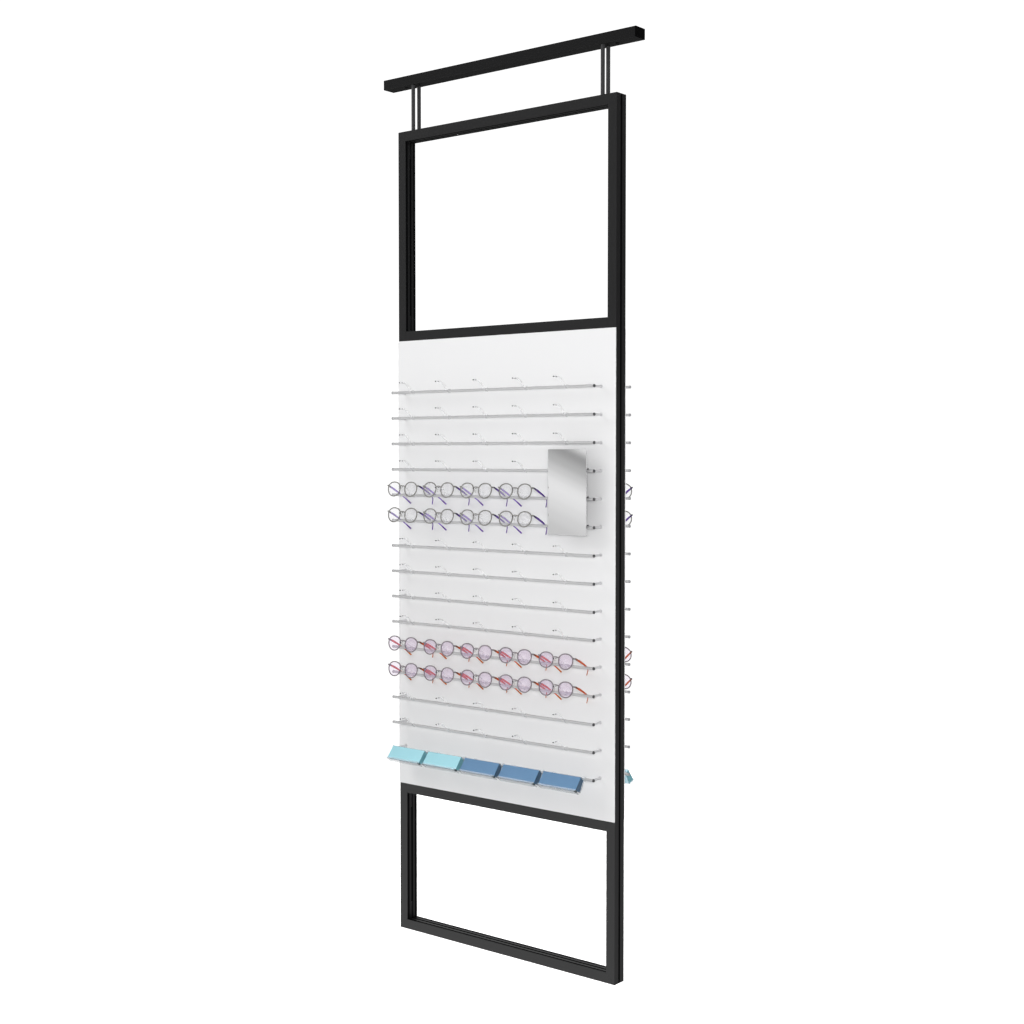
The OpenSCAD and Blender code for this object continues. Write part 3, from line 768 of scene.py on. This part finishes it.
def card_holder():
    """One clear sheet bent round the block's top, back and foot, with a flange and two rings."""
    inner, outer = grown(BLOCK, BLOCK_GAP), grown(BLOCK, BLOCK_GAP + SHEET_T)
    down = (Vector(BLOCK[3]) - Vector(BLOCK[0])).normalized()
    out = Vector((-down.y, down.x))
    flange_end = outer[3] + FLANGE_WAY * FLANGE_L
    top = outer[0] - outer[1]
    top_outer = outer[1] + top.normalized() * (top.length - TOP_BEVEL)
    lip_inner = inner[3] - down * LIP_H
    lip_outer = lip_inner + out * SHEET_T
    underside = outer[3] + (outer[2] - outer[3]).normalized() * FOOT_BEVEL
    bent = [
        *inner, lip_inner, lip_outer, outer[3], flange_end, flange_end + FLANGE_UP * SHEET_T,
        underside, outer[2], outer[1], top_outer,
    ]
    shape = bevelled_prism(bent, 0, HOLDER_W, SHEET_EDGE, 1, end_slot=1)
    turns = circle(KNUCKLE_SIDES)
    for x in (FIRST_KNUCKLE, HOLDER_W - KNUCKLE_W):
        rings = [[Vector((x + dx, r * c, r * s)) for c, s in turns] for r, dx in KNUCKLE]
        shape.add(*skin(rings, closed=True))
    under, over = -CLIP_OVER, SHEET_T + CLIP_OVER
    clip = [
        outer[3] + FLANGE_WAY * a + FLANGE_UP * b for a, b in
        ((CLIP_FROM, under), (CLIP_TO, under), (CLIP_TO, over), (CLIP_FROM, over))
    ]
    return shape.include(
        bevelled_prism(clip, HOLDER_W - CLIP_W, HOLDER_W + CLIP_OUT, CLIP_EDGE, slot=1)
    )


holder_shape = card_holder()
block_shape = bevelled_prism(
    BLOCK, BLOCK_SIDE, HOLDER_W - BLOCK_SIDE, BLOCK_EDGE, BLOCK_SEGMENTS, end_slot=1,
)
for side in SIDES:
    for i in range(1, BLOCKS + 1):
        spot = [at_bar(side, CARD_ROW, FIRST_HOLDER + HOLDER_PITCH * (i - 1))]
        body = f"{side}_card_flap_{i}"
        pale = i <= PALE_BLOCKS
        # Each block's end faces take the darker copy of its blue, painted shade.
        face, end = (pale_blue, pale_blue_painted_shade_end) if pale else (mid_blue, mid_blue_painted_shade_end)
        piece(
            f"{side}_holder_sheet_{i}", holder_shape, spot, [holder_acrylic, holder_edge], body,
            [f"{side}_card_holder_{i}"], smooth=30, clear=True,
        )
        piece(
            f"{side}_block_{i}", block_shape, spot, [face, end], body,
            [f"{side}_card_block_{i}"], smooth=30,
        )


# ---- floor, world, light and camera ----
def flat_piece(name, half_w, half_h, height, mat):
    """A flat rectangle of the stage, in metres."""
    mesh = bpy.data.meshes.new(name)
    corners = ((-1, -1), (1, -1), (1, 1), (-1, 1))
    mesh.from_pydata([(x * half_w, y * half_h, height) for x, y in corners], [], [(0, 1, 2, 3)])
    mesh.materials.append(mat)
    obj = bpy.data.objects.new(name, mesh)
    bpy.context.scene.collection.objects.link(obj)
    return obj


FLOOR_DROP, FLOOR_HALF, FLOOR_GLOW = 0.35, 30.0, 0.75
floor_mat = grain_material(
    "pale_floor", (0.93, 0.93, 0.93), 0.9, scale=(3, 3, 3), vary=0.004, bump=0.0, spec=0.1,
)
glow = floor_mat.node_tree.nodes["Principled BSDF"]
glow.inputs["Emission Color"].default_value = (1, 1, 1, 1)
glow.inputs["Emission Strength"].default_value = FLOOR_GLOW
floor = flat_piece("floor", FLOOR_HALF, FLOOR_HALF, -TOTAL_H * MM - FLOOR_DROP, floor_mat)
floor.visible_glossy = floor.visible_diffuse = False

world = bpy.data.worlds.new("studio")
bpy.context.scene.world = world
world.use_nodes = True
tree = world.node_tree
tree.nodes.clear()
make, link = tree.nodes.new, tree.links.new


def ramped(source, start, end, at_start, at_end):
    """A smooth step from one value to another as the source goes from start to end."""
    node = make("ShaderNodeMapRange")
    node.interpolation_type = "SMOOTHSTEP"
    node.inputs["From Min"].default_value = start
    node.inputs["From Max"].default_value = end
    node.inputs["To Min"].default_value = at_start
    node.inputs["To Max"].default_value = at_end
    link(source, node.inputs["Value"])
    return node.outputs["Result"]


def background(strength):
    node = make("ShaderNodeBackground")
    node.inputs["Color"].default_value = (1, 1, 1, 1)
    if isinstance(strength, float):
        node.inputs["Strength"].default_value = strength
    else:
        link(strength, node.inputs["Strength"])
    return node.outputs["Background"]


def chosen(switch, off, on):
    node = make("ShaderNodeMixShader")
    link(switch, node.inputs["Fac"])
    link(off, node.inputs[1])
    link(on, node.inputs[2])
    return node.outputs["Shader"]


where = make("ShaderNodeTexCoord")
split = make("ShaderNodeSeparateXYZ")
link(where.outputs["Generated"], split.inputs["Vector"])


def combined(operation, a, b):
    """A sum, difference or product of sockets or plain numbers."""
    node = make("ShaderNodeMath")
    node.operation = operation
    for socket, value in zip(node.inputs, (a, b)):
        if isinstance(value, float):
            socket.default_value = value
        else:
            link(value, socket)
    return node.outputs[0]


# What reflections see: bright below, dim at eye level, brighter on the left, with a dark
# far corner that the beam's underside reflects. The diffuse light falls off upwards.
from_x, from_y, from_z = (split.outputs[axis] for axis in "XYZ")
upward = combined(
    "ADD", ramped(from_z, -0.3, -0.02, 1.5, 0.27), ramped(from_z, 0.08, 0.28, 0.0, 0.4),
)
sideways = ramped(from_x, -0.5, 0.5, 1.0, 0.3)
far = ramped(from_y, -0.1, 0.3, 0.0, 0.94)
low_down = ramped(from_z, -0.16, -0.03, 1.0, 0.0)
leftward = ramped(from_x, -0.4, -0.1, 1.0, 0.0)
corner = combined("MULTIPLY", far, combined("MULTIPLY", low_down, leftward))
shade = combined("SUBTRACT", 1.0, corner)
seen = combined("MULTIPLY", combined("MULTIPLY", upward, sideways), shade)
overhead = ramped(from_z, -0.4, 0.6, 0.66, 0.34)
BACKDROP = 1.1
kind = make("ShaderNodeLightPath")
room = chosen(kind.outputs["Is Glossy Ray"], background(overhead), background(seen))
room = chosen(kind.outputs["Is Camera Ray"], room, background(BACKDROP))
link(room, make("ShaderNodeOutputWorld").inputs["Surface"])

# A graded card that only reflections see. Two stand in front of each mirror
CARD_BANDS = (
    (0.0, 0.63), (0.12, 0.64), (0.23, 0.72), (0.35, 0.81), (0.42, 0.87), (0.49, 0.905),
    (0.54, 0.88), (0.6, 0.78), (0.66, 0.66), (0.75, 0.5), (0.86, 0.35), (1.0, 0.2),
)
CARD_SPAN, CARD_SLANT = 0.75, 0.5
card_mat = bpy.data.materials.new("graded_card")
card_mat.use_nodes = True
tree = card_mat.node_tree
tree.nodes.clear()
make, link = tree.nodes.new, tree.links.new
where = make("ShaderNodeTexCoord")
along = make("ShaderNodeVectorMath")
along.operation = "DOT_PRODUCT"
along.inputs[1].default_value = (CARD_SLANT / CARD_SPAN, 1 / CARD_SPAN, 0)
link(where.outputs["Object"], along.inputs[0])
centred = make("ShaderNodeMath")
centred.operation = "ADD"
centred.inputs[1].default_value = 0.5
link(along.outputs["Value"], centred.inputs[0])
bands = make("ShaderNodeValToRGB")
bands.color_ramp.interpolation = "EASE"
stops = bands.color_ramp.elements
for k, (position, level) in enumerate(CARD_BANDS):
    stop = stops.new(position) if k else stops[0]
    stop.position = position
    stop.color = (level, level, level, 1)
link(centred.outputs[0], bands.inputs["Fac"])
shine = make("ShaderNodeEmission")
link(bands.outputs["Color"], shine.inputs["Color"])
link(shine.outputs["Emission"], make("ShaderNodeOutputMaterial").inputs["Surface"])

CAMERA_SPOT = Vector((2.816, -3.4285, -1.173))
low_corner, high_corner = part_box("front_mirror_glass")
mirror_spot = (low_corner + high_corner) / 2
view_line = (mirror_spot - CAMERA_SPOT).normalized()
bounce = Vector((view_line.x, -view_line.y, view_line.z))
ahead = Vector((0, -1, 0))
CARD_AWAY, CARD_H = 6.0, 2.0
BOUNCE_CARD_W, AHEAD_CARD_W = 1.4, 2.4


def stand_card(name, direction, width):
    """Stands a card in front of the front mirror, and its twin in front of the back one."""
    right = Vector((-direction.y, direction.x, 0)).normalized()
    upright = right.cross(direction).normalized()
    upright = upright if upright.z > 0 else -upright
    spot = mirror_spot + direction * CARD_AWAY
    axes = Matrix((right, upright, right.cross(upright))).transposed().to_4x4()
    facing = Matrix.Translation(spot) @ axes
    for side, turn in (("front", 0.0), ("back", math.pi)):
        card = flat_piece(f"{name}_{side}", width / 2, CARD_H / 2, 0, card_mat)
        card.matrix_world = Matrix.Rotation(turn, 4, "Z") @ facing
        card.visible_camera = card.visible_diffuse = False
        card.visible_shadow = card.visible_transmission = False


stand_card("card", bounce, BOUNCE_CARD_W)
stand_card("card_ahead", ahead, AHEAD_CARD_W)


def soft_light(name, spot, target, size, energy):
    """A round lamp that lights the object and doesn't show in reflections."""
    data = bpy.data.lights.new(name, "AREA")
    data.shape = "DISK"
    data.size = size
    data.energy = energy
    obj = bpy.data.objects.new(name, data)
    obj.location = spot
    obj.rotation_euler = (target - spot).to_track_quat("-Z", "Y").to_euler()
    obj.visible_glossy = False
    bpy.context.scene.collection.objects.link(obj)


FILL_SPOT, FILL_TARGET = CAMERA_SPOT + Vector((0, 0, 0.15)), Vector((0, 0, -1.4))
FILL_SIZE, FILL_POWER = 0.7, 100
KEY_SPOT, KEY_TARGET = Vector((-1.6, -2.3, 0.5)), Vector((0, 0, -1.5))
KEY_SIZE, KEY_POWER = 1.8, 32
TO_BACK = Matrix.Diagonal((-1, -1, 1))
soft_light("fill_front", FILL_SPOT, FILL_TARGET, FILL_SIZE, FILL_POWER)
soft_light("fill_back", TO_BACK @ FILL_SPOT, FILL_TARGET, FILL_SIZE, FILL_POWER)
soft_light("key_front", KEY_SPOT, KEY_TARGET, KEY_SIZE, KEY_POWER)
soft_light("key_back", TO_BACK @ KEY_SPOT, KEY_TARGET, KEY_SIZE, KEY_POWER)

CAMERA_LENS, CAMERA_DOWN, CAMERA_ROUND = 52.40, 0.0381, 0.6836
camera_data = bpy.data.cameras.new("camera")
camera_data.lens = CAMERA_LENS
camera_data.sensor_width = 36
camera = bpy.data.objects.new("camera", camera_data)
camera.location = CAMERA_SPOT
camera.rotation_euler = (math.pi / 2 - CAMERA_DOWN, 0, CAMERA_ROUND)
bpy.context.scene.collection.objects.link(camera)
bpy.context.scene.camera = camera
bpy.context.scene.view_settings.view_transform = "Standard"
bpy.context.scene.view_settings.look = "None"
